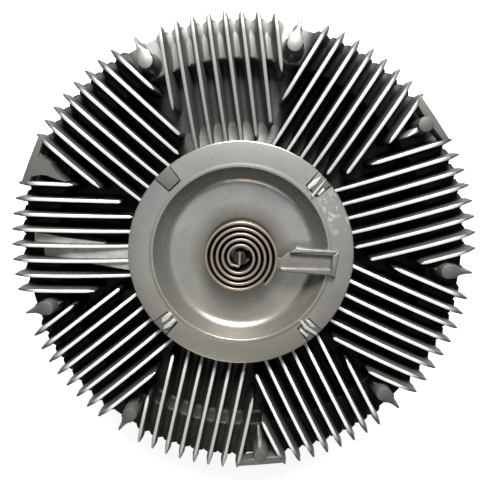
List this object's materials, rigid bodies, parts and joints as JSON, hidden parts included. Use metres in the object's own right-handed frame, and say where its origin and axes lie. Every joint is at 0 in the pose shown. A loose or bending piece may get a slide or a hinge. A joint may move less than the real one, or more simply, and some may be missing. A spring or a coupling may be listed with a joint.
{
  "type": "viscous fan clutch",
  "caption": "Viscous fan clutch: a finned round cast housing that turns on a flanged drive shaft, with a bimetal spiral on a dished front plate.",
  "frame": {"origin": "centre of the drive flange's rear face, on the clutch axis", "axes": "+Z along the axis towards the finned front, +X along the bracket that holds the spiral strip"},
  "size_m": [0.253, 0.2532, 0.1007],
  "materials": {
    "cast": "as cast, satin",
    "pressed": "satin",
    "bracket": "satin",
    "strip": "rolled, slightly tarnished",
    "steel": "turned",
    "zinc": "zinc plated",
    "rubber": "matt",
    "brass": "machined"
  },
  "bodies": {
    "drive": {"drive_shaft": "steel", "rotor": "cast", "rotor_lock_ring": "steel", "bearing_inner_race": "steel"},
    "housing": {"front_cover": "cast", "rear_housing": "cast", "cover_plate": "pressed", "plate_gasket": "rubber", "coil_bracket": "bracket", "bimetal_coil": "strip", "valve_seal": "rubber", "partition_plate": "pressed", "pump_wiper": "steel", "housing_seal": "rubber", "bearing_outer_race": "steel", "bearing_lock_ring": "steel", "bearing_rear_shield": "steel", "bearing_front_shield": "steel", "cover_screw_1": "zinc", "cover_screw_2": "zinc", "cover_screw_3": "zinc", "cover_screw_4": "zinc", "cover_screw_5": "zinc", "cover_screw_6": "zinc", "cover_screw_7": "zinc", "cover_screw_8": "zinc", "cover_screw_9": "zinc", "fan_stud_1": "zinc", "fan_stud_2": "zinc", "fan_stud_3": "zinc", "fan_stud_4": "zinc", "fan_stud_5": "zinc", "fan_stud_6": "zinc"},
    "cage": {"bearing_cage": "brass", "bearing_ball_1": "steel", "bearing_ball_2": "steel", "bearing_ball_3": "steel", "bearing_ball_4": "steel", "bearing_ball_5": "steel", "bearing_ball_6": "steel", "bearing_ball_7": "steel", "bearing_ball_8": "steel"},
    "valve": {"valve_shaft": "steel", "valve_arm": "steel", "valve_clip": "steel"}
  },
  "joints": [
    {"name": "housing_spin", "type": "hinge", "parent": "drive", "child": "housing", "pos_m": [0, 0, 0.0322], "axis": [0, 0, 1], "continuous": true},
    {"name": "cage_spin", "type": "hinge", "parent": "drive", "child": "cage", "pos_m": [0, 0, 0.0322], "axis": [0, 0, 1], "continuous": true},
    {"name": "valve_turn", "type": "hinge", "parent": "housing", "child": "valve", "pos_m": [0, 0, 0.08], "axis": [0, 0, 1], "range_deg": [0, 30], "deforming": ["bimetal_coil"]}
  ],
  "couplings": [
    {"joint": "cage_spin", "follows": "housing_spin", "ratio": 0.6174}
  ]
}
